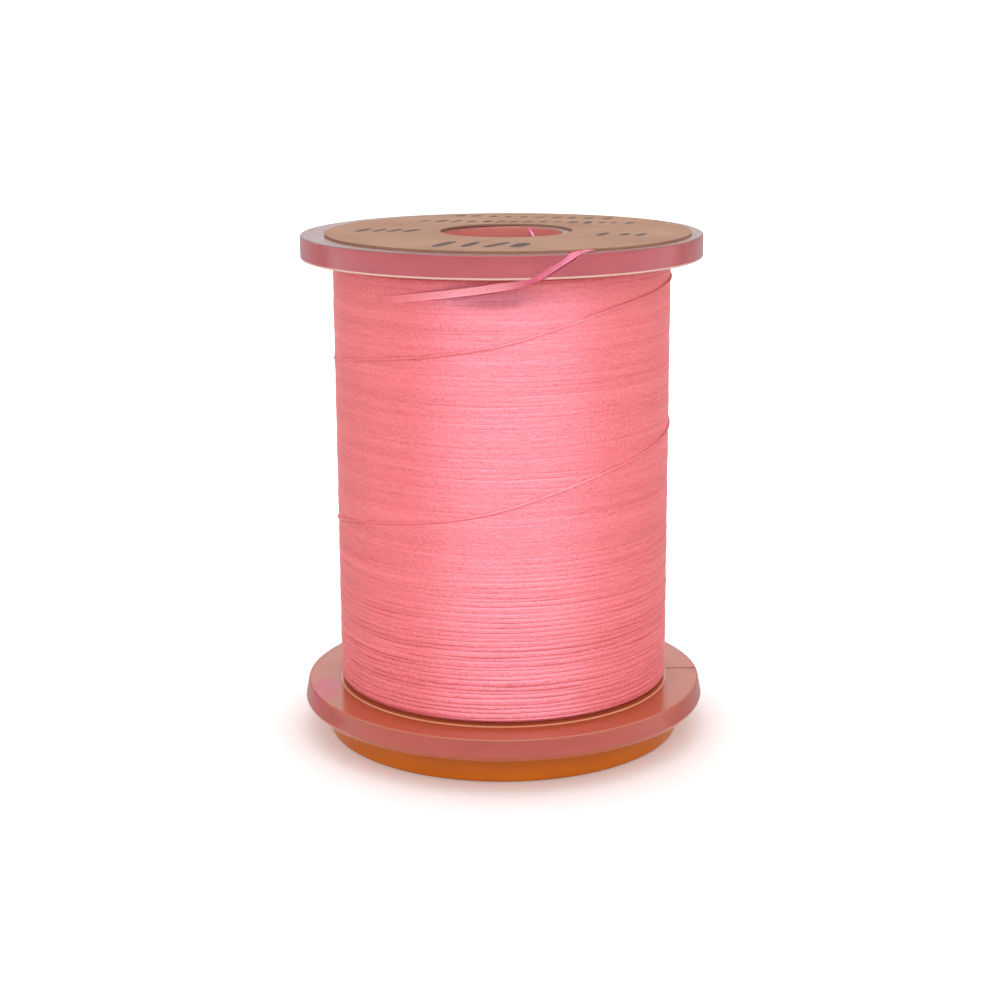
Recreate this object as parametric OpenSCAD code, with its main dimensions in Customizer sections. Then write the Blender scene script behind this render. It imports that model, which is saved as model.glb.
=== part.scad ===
// Tying thread spool: a moulded spool with a snap-in thread-lock base, a paper
// label on its top flange and one continuous thread wound on its barrel.
// Millimetres. +Z is the spool's axis and the origin is the centre of the face
// that it stands on. Angles are measured from the front (-Y) towards +X.

/* [Spool moulding] */
// Diameter of the top flange
top_flange_d = 25; // [22:0.1:30]
// Thickness of the top flange
top_flange_t = 1.45; // [1:0.05:2.5]
// Widest diameter of the lower flange, near its lower edge
lower_flange_d = 25.8; // [23:0.1:31]
// Thickness of the lower flange
lower_flange_t = 1.35; // [1:0.05:2.5]
// How much narrower the lower flange's radius is at its top edge
lower_flange_draft = 0.2; // [0:0.05:0.4]
// Clear height between the two flanges
winding_space_h = 27.25; // [20:0.25:40]
// Outside diameter of the barrel that the thread is wound on
barrel_d = 19.8; // [18.6:0.1:20.2]
// Wall thickness of the barrel
barrel_wall = 1; // [0.8:0.05:1.2]
// Hole at each end for the peg of a bobbin holder
peg_bore_d = 7.6; // [6:0.1:8]
// Small chamfer on the flange rims
rim_chamfer = 0.12; // [0.05:0.01:0.2]

/* [Thread slits] */
// Width of the slanted slit through the top flange's rim
top_slit_w = 0.48; // [0.46:0.01:0.7]
// Angle where the slit leaves the underside of the top flange
top_slit_low_angle = 9; // [0:0.5:12]
// Angle where the slit reaches the top face
top_slit_high_angle = 20; // [18:0.5:30]
// Radius at which the slit ends, towards the middle
top_slit_root_r = 10.7; // [10.6:0.05:11.5]
// Width of the fine radial slit in the lower flange
lower_slit_w = 0.14; // [0.1:0.01:0.4]
// Angle of the slit in the lower flange
lower_slit_angle = 92; // [0:1:359]

/* [Thread-lock base] */
// Diameter of the base
base_d = 22.7; // [21:0.1:24]
// Height of the base below the lower flange
base_h = 1.95; // [1.5:0.05:3]
// Depth of the channel that pinches the thread's start
lock_channel_t = 0.16; // [0.14:0.01:0.3]
// How far the base pulls out to free the thread
base_travel = 1.6; // [1:0.1:2]
// Wall thickness of the collar that plugs into the barrel
collar_wall = 0.9; // [0.7:0.05:1.2]
// Number of snap fingers that the collar is cut into
finger_count = 6; // [4:1:8]
// Width of the gaps between the fingers
finger_gap = 0.8; // [0.4:0.1:1.5]

/* [Label] */
// Diameter of the paper label
label_d = 22.7; // [20:0.1:22.8]
// Diameter of the hole punched in the label
label_hole_d = 8.2; // [8.2:0.1:9]
// Thickness of the paper
label_t = 0.12; // [0.12:0.01:0.2]
// How far the label was stuck off centre, to the right
label_off_x = 0.4; // [-0.4:0.1:0.4]
// How far the label was stuck off centre, to the front
label_off_front = 0.4; // [-0.4:0.1:0.4]
// How far its hole is off the spool's axis, to the front and right
label_hole_off = 0.42; // [0:0.01:0.45]

/* [Thread] */
// Outside diameter of the full winding
winding_d = 21.06; // [20.6:0.02:21.2]
// Gap between the winding and each flange
winding_end_gap = 0.13; // [0.05:0.01:0.3]
// Diameter of one strand of thread
thread_d = 0.1; // [0.08:0.01:0.1]
// Number of strands that pass through the top slit
band_strands = 4; // [2:1:4]

/* [Hidden] */
$fn = 96;
eps = 0.01;
label_hole_angle = 45;
strand_sides = 8;
top_flange_r = top_flange_d / 2;
lower_flange_r = lower_flange_d / 2;
barrel_r = barrel_d / 2;
barrel_in_r = barrel_r - barrel_wall;
peg_bore_r = peg_bore_d / 2;
base_r = base_d / 2;
winding_r = winding_d / 2;

// Levels up the spool
lower_flange_z = base_h;
winding_z = lower_flange_z + lower_flange_t;
top_flange_z = winding_z + winding_space_h;
top_z = top_flange_z + top_flange_t;

// Snap: the bead on the collar comes to rest on the lip inside the barrel
lip_in_r = barrel_in_r - 0.4;
lip_h = 0.8;
collar_r = lip_in_r - 0.15;
bead_r = barrel_in_r - 0.12;
bead_t = 0.7;
bead_z = lower_flange_z + lip_h + base_travel + 0.1;
collar_top_z = bead_z + bead_t;
collar_in_r = collar_r - collar_wall;
foot_recess_t = 0.5;
foot_ring_w = 1.6;
hub_ring_w = 1.3;

// Radius at which a strand lies on the winding
strand_r = winding_r + 0.7 * thread_d;

// One long run that crosses the winding: angle and height
crossing_route = [
    [-150, 12.2], [-76, 14.3], [-56, 15], [-21, 15.9], [0, 16.7], [15, 17.6],
    [33, 18.5], [52, 19.2], [77, 19.9], [180, 22.2], [280, 24.4], [337, 25.8],
    [360, 26.5], [379, 27.5], [401, 28.5], [434, 29.2], [500, 29.9], [540, 29.6],
    [608, 27.3]
];
crossing_step = 8;

// The band of strands that climbs the winding, goes up through the slit and lies on
// the top edge: height and radius by angle, then how far neighbouring strands are
// apart there, as an angle, a height and a radius
band_from = -112;
band_fine_from = -4;
band_to = 25.5;
band_step = 4.5;
band_fine_step = 1.5;
band_height = [[-112, 27.1], [-66, 28.35], [-34, 29.05], [-7, 29.75], [3, 30.05],
               [7, 30.36], [9, 30.56], [20, 31.98], [21, 32.07], [25.5, 32.07]];
band_radius = [[-112, strand_r], [-1, strand_r], [4, 10.9], [8, 12.05], [14, 12.18],
               [25.5, 12.18]];
lane_angle = [[-3, 0], [5, 1.02], [20, 1.02], [25.5, 0.3]];
lane_height = [[-112, 0.113], [0, 0.113], [5, 0.045], [9, 0.015], [11, 0]];
lane_radius = [[14, 0], [20, 0.09], [21, 0.113], [25.5, 0.113]];

// The end of the thread: under the label and down the bore: angle, radius, height
under_label_z = top_z + 0.055;
in_bore_r = peg_bore_r - 0.07;
tail_turn_angle = 21;
tail_route = [
    [27, 11.3, under_label_z], [34, 9.8, under_label_z], [55, 8.2, under_label_z],
    [80, 7.2, under_label_z], [110, 6.5, under_label_z], [136, 5.9, under_label_z],
    [149, 5.1, under_label_z], [153.4, 4.2, under_label_z],
    [153.4, in_bore_r, top_z - 0.1], [150, in_bore_r, 31.65], [147, in_bore_r, 31.33],
    [142, in_bore_r, 30.8], [139, 4.1, 30.1], [136, 4.7, 29.2], [134, 5.1, 28],
    [135, 5.2, 26.6], [138, 5.1, 25.2]
];

// The start of the thread: through the lower slit, round the channel to a tangle
lock_r = 10.6;
lock_strand_z = base_h - lock_channel_t / 2;
lock_start_angle = lower_slit_angle;
lock_end_angle = 272;
lock_step = 9;
tangle_from_angle = 270;
tangle_to_angle = 299;
tangle_in_r = 10.4;
tangle_out_r = 12.5;

// A point at an angle from the front, a radius and a height
function polar(a, r, z) = [r * sin(a), -r * cos(a), z];

function unit(v) = v / norm(v);

// Direction of a route at its point i
function heading(pts, i) =
    unit(pts[min(i + 1, len(pts) - 1)] - pts[max(i - 1, 0)]);

// Points of one ring round a route's point, square to its direction
function ring(c, dir, r, n) =
    let (side = unit(cross(dir, abs(dir[2]) > 0.9 ? [1, 0, 0] : [0, 0, 1])),
         up = cross(side, dir))
    [for (k = [0 : n - 1]) c + r * (cos(360 * k / n) * side + sin(360 * k / n) * up)];

// A thin round strand swept along a route
module strand(pts, d) {
    n = strand_sides;
    last = len(pts) - 1;
    points = [for (i = [0 : last]) each ring(pts[i], heading(pts, i), d / 2, n)];
    walls = [for (i = [0 : last - 1], k = [0 : n - 1])
        let (m = (k + 1) % n)
        [i * n + k, i * n + m, (i + 1) * n + m, (i + 1) * n + k]];
    start_cap = [[for (k = [n - 1 : -1 : 0]) k]];
    end_cap = [[for (k = [0 : n - 1]) last * n + k]];
    polyhedron(points, concat(walls, start_cap, end_cap), convexity = 6);
}

// A turned body with chamfered rims, from an inner radius to a drafted outer one
module turned_disc(z0, z1, r_in, r_low, r_high, c) {
    rotate_extrude()
        polygon([[r_in, z0], [r_low - c, z0], [r_low, z0 + 2 * c],
                 [r_high, z1 - c], [r_high - c, z1], [r_in, z1]]);
}

// The slanted slot through the top flange, seen from outside it leans to the right
module top_slit() {
    middle = (top_slit_low_angle + top_slit_high_angle) / 2;
    lean = top_flange_r * sin((top_slit_high_angle - top_slit_low_angle) / 2);
    half_w = top_slit_w / 2 / sin(atan(top_flange_t / (2 * lean)));
    reach = lean * (1 + 2 * eps);
    rotate([0, 0, middle])
        translate([0, -top_slit_root_r, top_flange_z + top_flange_t / 2])
            rotate([90, 0, 0])
                linear_extrude(top_flange_r)
                    polygon([[-reach - half_w, -top_flange_t * (0.5 + eps)],
                             [-reach + half_w, -top_flange_t * (0.5 + eps)],
                             [reach + half_w, top_flange_t * (0.5 + eps)],
                             [reach - half_w, top_flange_t * (0.5 + eps)]]);
}

// Tube between the flanges, with the lip that holds the base's snap bead
module spool_barrel() {
    color([0.86, 0.62, 0.6])
        rotate_extrude()
            polygon([[lip_in_r, lower_flange_z],
                     [barrel_r, lower_flange_z],
                     [barrel_r, top_flange_z],
                     [barrel_in_r, top_flange_z],
                     [barrel_in_r, lower_flange_z + lip_h],
                     [lip_in_r, lower_flange_z + lip_h]]);
}

module top_flange() {
    color([0.76, 0.45, 0.46])
        difference() {
            turned_disc(top_flange_z, top_z, peg_bore_r,
                        top_flange_r, top_flange_r, rim_chamfer);
            top_slit();
        }
}

module lower_flange() {
    color([0.76, 0.6, 0.56])
        difference() {
            turned_disc(lower_flange_z, winding_z, barrel_r, lower_flange_r,
                        lower_flange_r - lower_flange_draft, rim_chamfer);
            rotate([0, 0, lower_slit_angle])
                translate([-lower_slit_w / 2, -lower_flange_r - 1, lower_flange_z - eps])
                    cube([lower_slit_w, lower_flange_r + 1 - barrel_r - 0.3,
                          lower_flange_t + 2 * eps]);
        }
}

// Disc that the spool stands on, with a collar of snap fingers up inside the barrel
module thread_lock_base() {
    channel_in_r = barrel_r;
    color([0.85, 0.42, 0.08])
        difference() {
            rotate_extrude()
                polygon([[peg_bore_r, 0],
                         [peg_bore_r + hub_ring_w, 0],
                         [peg_bore_r + hub_ring_w, foot_recess_t],
                         [base_r - foot_ring_w, foot_recess_t],
                         [base_r - foot_ring_w, 0],
                         [base_r - 2 * rim_chamfer, 0],
                         [base_r, 2 * rim_chamfer],
                         [base_r, base_h - lock_channel_t],
                         [channel_in_r, base_h - lock_channel_t],
                         [channel_in_r, base_h],
                         [collar_r, base_h],
                         [collar_r, bead_z],
                         [bead_r, bead_z],
                         [bead_r, bead_z + bead_t / 2],
                         [collar_r, collar_top_z],
                         [collar_in_r, collar_top_z],
                         [collar_in_r, base_h],
                         [peg_bore_r, base_h]]);
            for (k = [0 : finger_count - 1])
                rotate([0, 0, 360 * (k + 0.5) / finger_count])
                    translate([collar_in_r - 0.5, -finger_gap / 2, base_h])
                        cube([collar_wall + 1.5, finger_gap, collar_top_z - base_h + 1]);
        }
}

module top_label() {
    color([0.76, 0.62, 0.5])
        difference() {
            translate([label_off_x, -label_off_front, top_z])
                cylinder(h = label_t, d = label_d);
            translate(polar(label_hole_angle, label_hole_off, top_z - 1))
                cylinder(h = label_t + 2, d = label_hole_d);
        }
}

module thread_winding() {
    color([0.98, 0.55, 0.6])
        translate([0, 0, winding_z + winding_end_gap])
            difference() {
                cylinder(h = winding_space_h - 2 * winding_end_gap, r = winding_r);
                translate([0, 0, -1])
                    cylinder(h = winding_space_h + 2, r = barrel_r);
            }
}

module crossing_strand() {
    first = crossing_route[0][0];
    last = crossing_route[len(crossing_route) - 1][0];
    color([1, 0.5, 0.62])
        strand([for (a = [first : crossing_step : last])
                    polar(a, strand_r + 0.03, lookup(a, crossing_route))], thread_d);
}

// Angles of a strand's points, closer together where it climbs through the slit
function band_angles(to) =
    [each [band_from : band_step : band_fine_from - band_fine_step],
     each [band_fine_from : band_fine_step : to]];

// Points of one strand of the band; a lane is its place, counted from the middle one
function band_strand(lane, to) =
    [for (a = band_angles(to))
        polar(a + lane * lookup(a, lane_angle),
              lookup(a, band_radius) + lane * lookup(a, lane_radius),
              lookup(a, band_height) - lane * lookup(a, lane_height))];

function lane_of(k) = k - (band_strands - 1) / 2;

// All but the topmost strand of the band
module slit_strands() {
    color([0.95, 0.42, 0.62])
        for (k = [1 : band_strands - 1])
            strand(band_strand(lane_of(k), band_to), thread_d);
}

// The topmost strand of the band, carried on to the free end of the thread
module finish_tail() {
    color([1, 0.3, 0.5])
        strand(concat(band_strand(lane_of(0), tail_turn_angle),
                      [for (p = tail_route) polar(p[0], p[1], p[2])]), thread_d);
}

// Strand round the lock channel, and the flat tangle that it ends in
module start_tail() {
    color([1, 0.45, 0.62])
        union() {
            strand([for (a = [lock_start_angle : lock_step : lock_end_angle])
                        polar(a, lock_r, lock_strand_z)], thread_d);
            translate([0, 0, base_h - lock_channel_t + eps])
                rotate([0, 0, tangle_from_angle - 90])
                    rotate_extrude(angle = tangle_to_angle - tangle_from_angle)
                        translate([tangle_in_r, 0])
                            square([tangle_out_r - tangle_in_r, lock_channel_t - 2 * eps]);
        }
}

spool_barrel();
top_flange();
lower_flange();
thread_lock_base();
top_label();
thread_winding();
crossing_strand();
slit_strands();
finish_tail();
start_tail();
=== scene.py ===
"""A thread spool with a snap-in orange lock base, a paper label and a full winding of fine pink thread.

Sizes are in millimetres and are turned into metres where a mesh is made. Angles are measured from the
front (-Y) towards +X, as in the CAD model.
"""

import math
import random

import bmesh
import bpy
import numpy as np
from mathutils import Euler, Matrix, Vector


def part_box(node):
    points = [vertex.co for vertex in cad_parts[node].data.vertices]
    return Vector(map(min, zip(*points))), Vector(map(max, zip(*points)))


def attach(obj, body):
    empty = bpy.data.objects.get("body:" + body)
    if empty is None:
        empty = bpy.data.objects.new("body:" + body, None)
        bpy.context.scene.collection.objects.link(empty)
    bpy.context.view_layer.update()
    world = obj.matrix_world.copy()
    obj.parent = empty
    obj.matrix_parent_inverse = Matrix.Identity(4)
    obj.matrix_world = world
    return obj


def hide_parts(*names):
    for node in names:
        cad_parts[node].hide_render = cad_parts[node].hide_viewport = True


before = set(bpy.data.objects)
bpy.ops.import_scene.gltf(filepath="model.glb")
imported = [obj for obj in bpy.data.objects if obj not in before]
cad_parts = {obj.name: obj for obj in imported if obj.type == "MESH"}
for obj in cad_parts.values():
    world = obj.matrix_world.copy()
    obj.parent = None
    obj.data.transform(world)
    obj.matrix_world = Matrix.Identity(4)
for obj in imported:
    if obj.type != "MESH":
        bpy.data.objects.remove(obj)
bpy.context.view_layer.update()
scene = bpy.context.scene

MM = 0.001
SEED = 70


def box_mm(node):
    """Lowest and highest corner of a CAD node, in millimetres."""
    low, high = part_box(node)
    return low / MM, high / MM


# ---------------------------------------------------------------- sizes from the frame
top_low, top_high = box_mm("top_flange")
rim_low, rim_high = box_mm("lower_flange")
base_low, base_high = box_mm("thread_lock_base")
wind_low, wind_high = box_mm("thread_winding")
label_low, label_high = box_mm("top_label")

TOP_R = top_high.x
TOP_Z0, TOP_Z1 = top_low.z, top_high.z
RIM_R = rim_high.x
RIM_Z0, RIM_Z1 = rim_low.z, rim_high.z
BASE_R = base_high.x
WIND_R = wind_high.x
WIND_Z0, WIND_Z1 = wind_low.z, wind_high.z
LABEL_R = (label_high.x - label_low.x) / 2
LABEL_CENTRE = (label_low + label_high) / 2

# ---------------------------------------------------------------- sizes that the boxes don't give
RIM_DRAFT = 0.2
RIM_CHAMFER_W, RIM_CHAMFER_H = 0.14, 0.26
FILLET = 0.5
LAND_R, LAND_T, LAND_SLOPE = WIND_R + 0.1, 0.05, 0.06  # the low step that the winding stands on
BARREL_R = 9.9
BARREL_IN_R = 8.9
LIP_R = 8.5
LIP_H = 0.8
BORE_R = 3.8
STRAND_R = WIND_R + 0.03
CHANNEL_R = BARREL_R
CHANNEL_T = 0.16
COLLAR_R = 8.35
COLLAR_IN_R = 7.45
BEAD_R = 8.78
BEAD_Z = 4.45
BEAD_T = 0.7
FOOT_T = 0.5
FOOT_RING_W = 1.6
HUB_RING_W = 1.3
FINGERS = 6
FINGER_GAP = 0.8
TOP_SLIT_ANGLE, TOP_SLIT_LEAN, TOP_SLIT_HALF_W, TOP_SLIT_R = 14.5, 5.5, 0.24, 10.7
RIM_SLIT_ANGLE, RIM_SLIT_HALF_W, RIM_SLIT_R = 92, 0.07, BARREL_R + 0.3
SHARP_ANGLE = 35


# ---------------------------------------------------------------- helpers: geometry
def polar(angle, r, z):
    """The point at an angle in degrees from the front, a radius and a height."""
    a = math.radians(angle)
    return (r * math.sin(a), -r * math.cos(a), z)


def lookup(x, table):
    """Straight-line lookup in a table of (x, value) pairs."""
    return float(np.interp(x, [p[0] for p in table], [p[1] for p in table]))


def make_object(name, verts, faces, uv=None):
    """A mesh object from points in millimetres. uv gives one (u, v) pair for each face corner."""
    mesh = bpy.data.meshes.new(name)
    mesh.from_pydata((np.asarray(verts, float) * MM).tolist(), [], faces)
    if uv is not None:
        layer = mesh.uv_layers.new(name="thread")
        layer.data.foreach_set("uv", np.asarray(uv, np.float32).ravel())
    mesh.shade_smooth()
    obj = bpy.data.objects.new(name, mesh)
    scene.collection.objects.link(obj)
    return obj


def rounded(corners, steps=5):
    """An outline with each corner (r, z, radius) replaced by an arc of that radius."""
    points = []
    count = len(corners)
    for i, (r, z, radius) in enumerate(corners):
        here = Vector((r, z))
        before = Vector(corners[i - 1][:2]) - here
        after = Vector(corners[(i + 1) % count][:2]) - here
        if radius == 0:
            points.append(here)
            continue
        half = before.angle(after) / 2
        reach = radius / math.tan(half)
        start = here + before.normalized() * reach
        end = here + after.normalized() * reach
        inward = (before.normalized() + after.normalized()).normalized()
        centre = here + inward * (radius / math.sin(half))
        first = start - centre
        turn = first.angle_signed(end - centre)
        for k in range(steps + 1):
            a = turn * k / steps
            c, s = math.cos(a), math.sin(a)
            points.append(centre + Vector((first.x * c + first.y * s, first.y * c - first.x * s)))
    return points


def turned(name, outline, columns=256):
    """A closed outline of (r, z) points turned round the Z axis."""
    rows = len(outline)
    verts = [polar(360 * i / columns, p[0], p[1]) for i in range(columns) for p in outline]
    faces = []
    for i in range(columns):
        for k in range(rows):
            a, b = i * rows + k, i * rows + (k + 1) % rows
            c, d = (i + 1) % columns * rows + (k + 1) % rows, (i + 1) % columns * rows + k
            faces.append((a, b, c, d))
    return make_object(name, verts, faces)


def carve(obj, *cutters):
    """Cuts each cutter out of obj, for good, and removes the cutters."""
    for cutter in cutters:
        cut = obj.modifiers.new("cut", "BOOLEAN")
        cut.operation = "DIFFERENCE"
        cut.solver = "EXACT"
        cut.object = cutter
    bpy.context.view_layer.update()
    evaluated = obj.evaluated_get(bpy.context.evaluated_depsgraph_get())
    mesh = bpy.data.meshes.new_from_object(evaluated)
    obj.modifiers.clear()
    obj.data = mesh
    for cutter in cutters:
        bpy.data.objects.remove(cutter)


def prism(name, outline, low, high, place):
    """A flat outline pushed out along its own Z from low to high, then placed by a matrix."""
    count = len(outline)
    verts = [place @ Vector((x, y, h)) for h in (low, high) for x, y in outline]
    faces = [tuple(range(count - 1, -1, -1)), tuple(range(count, 2 * count))]
    faces += [(k, (k + 1) % count, count + (k + 1) % count, count + k) for k in range(count)]
    return make_object(name, [tuple(v) for v in verts], faces)


def soften(obj):
    """Smooth shading, sharp only at true corners, with flat faces kept flat."""
    obj.data.set_sharp_from_angle(angle=math.radians(SHARP_ANGLE))
    normals = obj.modifiers.new("flat_faces", "WEIGHTED_NORMAL")
    normals.keep_sharp = True
    normals.weight = 100


def spline(points, per_span):
    """A smooth run through points, per_span steps to each span."""
    pts = np.asarray(points, float)
    ends = np.vstack([2 * pts[0] - pts[1], pts, 2 * pts[-1] - pts[-2]])
    out = []
    for i in range(1, len(ends) - 2):
        p0, p1, p2, p3 = ends[i - 1:i + 3]
        for t in np.arange(per_span) / per_span:
            out.append(0.5 * (2 * p1 + (p2 - p0) * t + (2 * p0 - 5 * p1 + 4 * p2 - p3) * t ** 2
                              + (3 * p1 - p0 - 3 * p2 + p3) * t ** 3))
    out.append(pts[-1])
    return np.array(out)


def resample(path, step):
    """The same path in even steps of about that length, and how far along it each point is."""
    gaps = np.linalg.norm(np.diff(path, axis=0), axis=1)
    run = np.concatenate([[0], np.cumsum(gaps)])
    count = max(2, int(run[-1] / step) + 1)
    even = np.linspace(0, run[-1], count)
    return np.stack([np.interp(even, run, path[:, k]) for k in range(3)], axis=1), even


STRAND_SIDES = 14
STRAND_LOBES = 5
LOBE_DEPTH = 0.09
STRAND_TWIST = 2.2  # radians for each millimetre
SIDE_V = 0.03  # how far apart the sides lie across the thread in its uv


def strand_parts(path, width, thick, step=0.12, outward=None):
    """Points, faces and uv of a flattened multifilament strand laid along a path.

    Its wide side faces away from the spool's axis, or along outward where that is given. The width may be
    a function of the path's points.
    """
    path, run = resample(np.asarray(path, float), step)
    ahead = np.gradient(path, axis=0)
    ahead /= np.linalg.norm(ahead, axis=1)[:, None]
    if outward is None:
        out = path * np.array([1.0, 1.0, 0.0])
    else:
        out = np.tile(np.asarray(outward, float), (len(path), 1))
    out -= ahead * np.sum(out * ahead, axis=1)[:, None]
    out /= np.linalg.norm(out, axis=1)[:, None]
    side = np.cross(out, ahead)
    angle = 2 * math.pi * np.arange(STRAND_SIDES) / STRAND_SIDES
    twist = STRAND_TWIST * run
    lobe = 1 + LOBE_DEPTH * np.cos(STRAND_LOBES * (angle[None, :] + twist[:, None]))
    if callable(width):
        width = width(path)[:, None]
    across = width / 2 * np.cos(angle)[None, :] * lobe
    up = thick / 2 * np.sin(angle)[None, :] * lobe
    verts = path[:, None, :] + across[:, :, None] * side[:, None, :] + up[:, :, None] * out[:, None, :]
    rings, n = len(path), STRAND_SIDES
    faces, uv = [], []
    for i in range(rings - 1):
        for k in range(n):
            m = (k + 1) % n
            faces.append((i * n + k, i * n + m, (i + 1) * n + m, (i + 1) * n + k))
            v0, v1 = k * SIDE_V, (k + 1) * SIDE_V
            uv += [(run[i], v0), (run[i], v1), (run[i + 1], v1), (run[i + 1], v0)]
    faces.append(tuple(range(n - 1, -1, -1)))
    faces.append(tuple(range((rings - 1) * n, rings * n)))
    uv += [(run[0], 0)] * n + [(run[-1], 0)] * n
    return verts.reshape(-1, 3), faces, uv


def strand_object(name, parts):
    """One object from several strands."""
    verts, faces, uv = [], [], []
    for v, f, t in parts:
        start = sum(len(x) for x in verts)
        verts.append(v)
        faces += [tuple(start + i for i in face) for face in f]
        uv += t
    return make_object(name, np.vstack(verts), faces, uv)


# ---------------------------------------------------------------- helpers: materials
class Shader:
    """A node material that is built up step by step."""

    def __init__(self, name):
        self.material = bpy.data.materials.new(name)
        self.material.use_nodes = True
        self.tree = self.material.node_tree
        self.surface = next(n for n in self.tree.nodes if n.type == "BSDF_PRINCIPLED")

    def node(self, kind, **settings):
        """A new node with some of its settings changed."""
        node = self.tree.nodes.new(kind)
        for key, value in settings.items():
            setattr(node, key, value)
        return node

    def join(self, source, target):
        self.tree.links.new(source, target)

    def set(self, **values):
        """Values that are the same all over, on the surface shader's own sockets."""
        for key, value in values.items():
            self.surface.inputs[key.replace("_", " ").title().replace("Ior", "IOR")].default_value = value

    def object_coords(self, scale):
        """Object coordinates in millimetres, stretched by scale."""
        place = self.node("ShaderNodeMapping")
        place.inputs["Scale"].default_value = [s / MM for s in scale]
        self.join(self.node("ShaderNodeTexCoord").outputs["Object"], place.inputs["Vector"])
        return place.outputs["Vector"]

    def thread_coords(self, along, across):
        """Coordinates along and across the thread, in millimetres, stretched by along and across."""
        place = self.node("ShaderNodeMapping")
        place.inputs["Scale"].default_value = (along, across, 1)
        self.join(self.node("ShaderNodeUVMap", uv_map="thread").outputs["UV"], place.inputs["Vector"])
        return place.outputs["Vector"]

    def distance(self, centre, reach):
        """Distance from a point in millimetres, with each axis measured in units of its reach."""
        place = self.node("ShaderNodeMapping")
        place.inputs["Location"].default_value = [-c / r for c, r in zip(centre, reach)]
        place.inputs["Scale"].default_value = [1 / (r * MM) for r in reach]
        self.join(self.node("ShaderNodeTexCoord").outputs["Object"], place.inputs["Vector"])
        length = self.node("ShaderNodeVectorMath", operation="LENGTH")
        self.join(place.outputs["Vector"], length.inputs[0])
        return length.outputs["Value"]

    def noise(self, coords, detail=3.0, rough=0.5):
        """Noise whose patches are about one unit of coords wide."""
        node = self.node("ShaderNodeTexNoise")
        node.inputs["Scale"].default_value = 1.0
        node.inputs["Detail"].default_value = detail
        node.inputs["Roughness"].default_value = rough
        self.join(coords, node.inputs["Vector"])
        return node.outputs["Fac"]

    def ramp(self, factor, stops):
        """A colour ramp through (place, colour) stops."""
        node = self.node("ShaderNodeValToRGB")
        elements = node.color_ramp.elements
        while len(elements) < len(stops):
            elements.new(0.5)
        for element, (at, colour) in zip(elements, stops):
            element.position = at
            element.color = (*colour, 1)
        self.join(factor, node.inputs["Fac"])
        return node.outputs["Color"]

    def span(self, factor, low, high, from_low=0.3, from_high=0.7):
        """factor stretched from from_low..from_high to low..high."""
        node = self.node("ShaderNodeMapRange")
        ends = {"From Min": from_low, "From Max": from_high, "To Min": low, "To Max": high}
        for key, value in ends.items():
            node.inputs[key].default_value = value
        self.join(factor, node.inputs["Value"])
        return node.outputs["Result"]

    def rise(self, value, start, end):
        """0 up to start and 1 from end on."""
        return self.span(value, 0.0, 1.0, start, end)

    def fall(self, value, start, end):
        """1 up to start and 0 from end on."""
        return self.span(value, 1.0, 0.0, start, end)

    def mix(self, factor, a, b, blend="MIX"):
        """Colour a going over to b; each of the three is a socket or a plain value."""
        node = self.node("ShaderNodeMix", data_type="RGBA", blend_type=blend)
        for key, value in {"Factor": factor, "A": a, "B": b}.items():
            socket = node.inputs[key]
            if isinstance(value, bpy.types.NodeSocket):
                self.join(value, socket)
            else:
                socket.default_value = value if isinstance(value, float) else (*value, 1)
        return node.outputs["Result"]

    def both(self, a, b):
        """1 only where a and b are both 1."""
        node = self.node("ShaderNodeMath", operation="MULTIPLY")
        self.join(a, node.inputs[0])
        self.join(b, node.inputs[1])
        return node.outputs["Value"]

    def bump(self, height, distance, under=None):
        """Fine relief of that height in millimetres, over another one if there is one under it."""
        node = self.node("ShaderNodeBump")
        node.inputs["Strength"].default_value = 1.0
        node.inputs["Distance"].default_value = distance * MM
        self.join(height, node.inputs["Height"])
        if under is not None:
            self.join(under, node.inputs["Normal"])
        return node.outputs["Normal"]

    def use(self, key, source):
        """Lets a node's output set an input of the surface shader."""
        self.join(source, self.surface.inputs[key])


def dress(obj, shader):
    """Gives an object one material."""
    obj.data.materials.clear()
    obj.data.materials.append(shader.material)


def thread_material(name, dark, light, lift, ribbon=(), dim=None):
    """Glossy flat filament yarn: the gloss is narrow along the thread and wide across it.

    ribbon gives later colours, each with the lengths along the thread where it starts and is complete.
    dim is a place, its reach and a colour: there the thread is darkened by that colour, as painted shade.
    lift is the relief of its fibres in millimetres.
    """
    s = Shader(name)
    broad = s.noise(s.thread_coords(0.05, 1.4), detail=2.0)
    fibres = s.noise(s.thread_coords(0.9, 13.0), detail=3.0, rough=0.6)
    grain = s.noise(s.thread_coords(5.0, 6.5), detail=2.0, rough=0.65)
    tone = s.mix(0.45, s.mix(0.5, broad, fibres), grain)
    colour = s.ramp(tone, [(0.38, dark), (0.62, light)])
    length = s.node("ShaderNodeSeparateXYZ")
    s.join(s.thread_coords(1, 1), length.inputs["Vector"])
    for later, start, end in ribbon:
        colour = s.mix(s.rise(length.outputs["X"], start, end), colour, later)
    if dim is not None:
        centre, reach, painted_shade = dim
        # painted shade: the colour is darkened near the place
        near = s.fall(s.distance(centre, reach), 0.35, 1.0)
        colour = s.mix(near, colour, painted_shade, blend="MULTIPLY")
    s.use("Base Color", colour)
    s.use("Roughness", s.span(grain, 0.34, 0.56))
    fine = s.bump(fibres, lift)
    s.use("Normal", s.bump(grain, lift * 1.8, under=fine))
    tangent = s.node("ShaderNodeTangent", direction_type="UV_MAP", uv_map="thread")
    s.use("Tangent", tangent.outputs["Tangent"])
    s.set(specular_ior_level=0.9, anisotropic=0.85, anisotropic_rotation=0.25)
    s.surface.inputs["Specular Tint"].default_value = (1.0, 0.72, 1.0, 1)
    return s


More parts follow.
